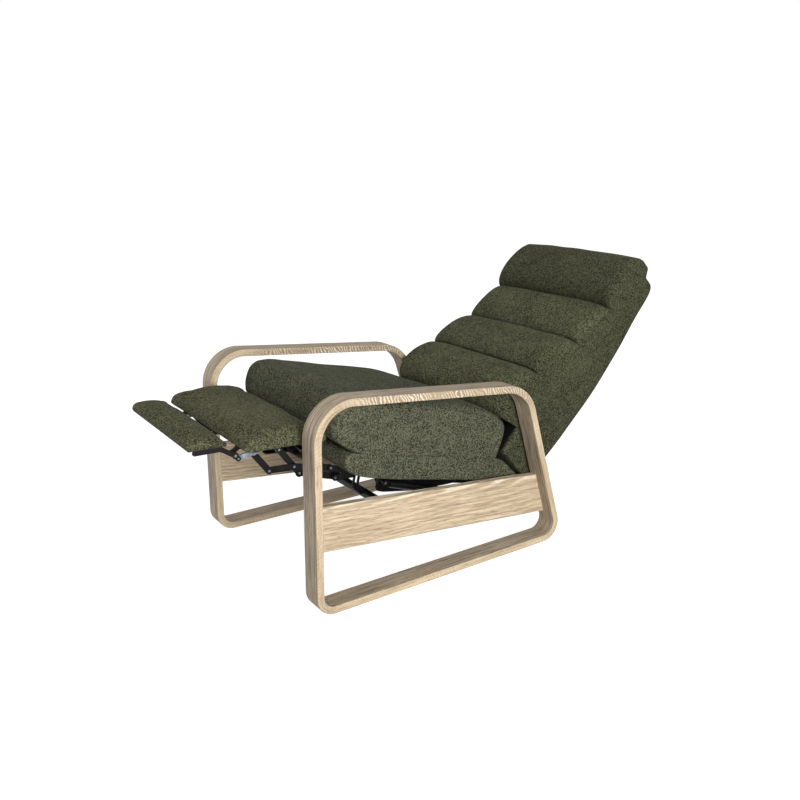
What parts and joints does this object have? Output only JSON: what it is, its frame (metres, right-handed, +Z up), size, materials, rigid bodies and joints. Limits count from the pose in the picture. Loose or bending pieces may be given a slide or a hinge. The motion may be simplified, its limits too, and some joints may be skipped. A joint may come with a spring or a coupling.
{
  "type": "reclining armchair",
  "caption": "Push-back reclining armchair with bent oak loop sides, channelled cushions and a linkage that folds a padded footrest and its flip-out end under the seat.",
  "frame": {"origin": "on the floor, at the middle of the reclined chair's width and length", "axes": "+Z up, -Y toward the footrest, +X toward the sitter's left"},
  "size_m": [0.7128, 1.635, 0.8705],
  "materials": {
    "oak_side": "pale lime-washed oak, open grain",
    "oak_rail": "pale lime-washed oak",
    "oak_dowel": "plain beech",
    "seat_cloth": "dark olive chenille",
    "back_cloth": "dark olive chenille",
    "footrest_cloth": "dark olive chenille",
    "board": "plywood",
    "black_steel": "black enamel",
    "zinc_steel": "zinc plated",
    "rod_chrome": "polished"
  },
  "bodies": {
    "frame": {"side_loop_left": "oak_side", "side_loop_right": "oak_side", "side_rail_left": "oak_rail", "side_rail_right": "oak_rail", "rail_dowels": "oak_dowel", "base_angle_left": "black_steel", "base_angle_right": "black_steel", "base_bolts": "zinc_steel", "front_cross_tube": "black_steel", "rear_cross_tube": "black_steel"},
    "seat": {"seat_base": "seat_cloth", "seat_cushion": "seat_cloth", "seat_plate_left": "black_steel", "seat_plate_right": "black_steel", "hinge_plate_left": "black_steel", "hinge_plate_right": "black_steel", "seat_pins": "zinc_steel"},
    "back": {"back_shell": "back_cloth", "lumbar_roll": "back_cloth", "middle_roll": "back_cloth", "shoulder_roll": "back_cloth", "headrest_roll": "back_cloth", "back_bracket_left": "black_steel", "back_bracket_right": "black_steel"},
    "gas_cylinders": {"gas_cylinder_left": "black_steel", "gas_cylinder_right": "black_steel"},
    "gas_rods": {"gas_rod_left": "rod_chrome", "gas_rod_right": "rod_chrome"},
    "drive_links": {"drive_link_left": "black_steel", "drive_link_right": "black_steel", "drive_pins": "zinc_steel"},
    "cross_links": {"cross_link_left": "black_steel", "cross_link_right": "black_steel"},
    "ottoman": {"ottoman_pad": "footrest_cloth", "ottoman_board": "board", "ottoman_bracket_left": "black_steel", "ottoman_bracket_right": "black_steel", "ottoman_pins": "zinc_steel"},
    "front_links": {"front_link_left": "black_steel", "front_link_right": "black_steel", "front_link_pins": "zinc_steel"},
    "control_links": {"control_link_left": "black_steel", "control_link_right": "black_steel", "control_pins": "zinc_steel"},
    "flipper": {"flipper_pad": "footrest_cloth", "flipper_board": "board", "flipper_bracket_left": "black_steel", "flipper_bracket_right": "black_steel", "flipper_pins": "zinc_steel", "flipper_crossbar": "black_steel"},
    "flipper_links": {"flipper_link_left": "black_steel", "flipper_link_right": "black_steel"}
  },
  "joints": [
    {"name": "seat_tilt", "type": "hinge", "parent": "frame", "child": "seat", "pos_m": [0, 0.20051, 0.18693], "axis": [1, 0, 0], "range_deg": [0, 4]},
    {"name": "back_recline", "type": "hinge", "parent": "seat", "child": "back", "pos_m": [0, 0.1503, 0.33193], "axis": [1, 0, 0], "range_deg": [0, 18]},
    {"name": "gas_swing", "type": "hinge", "parent": "seat", "child": "gas_cylinders", "pos_m": [0, -0.23958, 0.28297], "axis": [1, 0, 0], "range_deg": [0, 0.4307]},
    {"name": "gas_slide", "type": "slide", "parent": "gas_cylinders", "child": "gas_rods", "axis": [0, 0.9447, -0.3278], "range_m": [0, 0.05479]},
    {"name": "footrest_fold", "type": "hinge", "parent": "seat", "child": "drive_links", "pos_m": [0, -0.39954, 0.35202], "axis": [1, 0, 0], "range_deg": [0, 94]},
    {"name": "cross_swing", "type": "hinge", "parent": "drive_links", "child": "cross_links", "pos_m": [0, -0.51154, 0.37802], "axis": [1, 0, 0], "range_deg": [-119, 0]},
    {"name": "ottoman_turn", "type": "hinge", "parent": "cross_links", "child": "ottoman", "pos_m": [0, -0.55354, 0.43402], "axis": [1, 0, 0], "range_deg": [0, 119]},
    {"name": "front_link_swing", "type": "hinge", "parent": "ottoman", "child": "front_links", "pos_m": [0, -0.63154, 0.44002], "axis": [1, 0, 0], "range_deg": [-119, 0]},
    {"name": "control_link_swing", "type": "hinge", "parent": "seat", "child": "control_links", "pos_m": [0, -0.38552, 0.31951], "axis": [1, 0, 0], "range_deg": [0, 94.48]},
    {"name": "flipper_fold", "type": "hinge", "parent": "ottoman", "child": "flipper", "pos_m": [0, -0.68754, 0.45002], "axis": [1, 0, 0], "range_deg": [0, 92]},
    {"name": "flipper_link_swing", "type": "hinge", "parent": "flipper", "child": "flipper_links", "pos_m": [0, -0.68015, 0.44056], "axis": [1, 0, 0], "range_deg": [-133.67, 0]}
  ],
  "couplings": [
    {"joint": "seat_tilt", "follows": "back_recline", "ratio": 0.22222},
    {"joint": "gas_swing", "follows": "back_recline", "ratio": 0.023871},
    {"joint": "gas_slide", "follows": "back_recline", "m_per_rad": 0.17437},
    {"joint": "cross_swing", "follows": "footrest_fold", "ratio": -1.266},
    {"joint": "ottoman_turn", "follows": "footrest_fold", "ratio": 1.266},
    {"joint": "front_link_swing", "follows": "footrest_fold", "ratio": -1.266},
    {"joint": "control_link_swing", "follows": "footrest_fold", "ratio": 1.0051},
    {"joint": "flipper_fold", "follows": "footrest_fold", "ratio": 0.97872},
    {"joint": "flipper_link_swing", "follows": "footrest_fold", "ratio": -1.422}
  ]
}
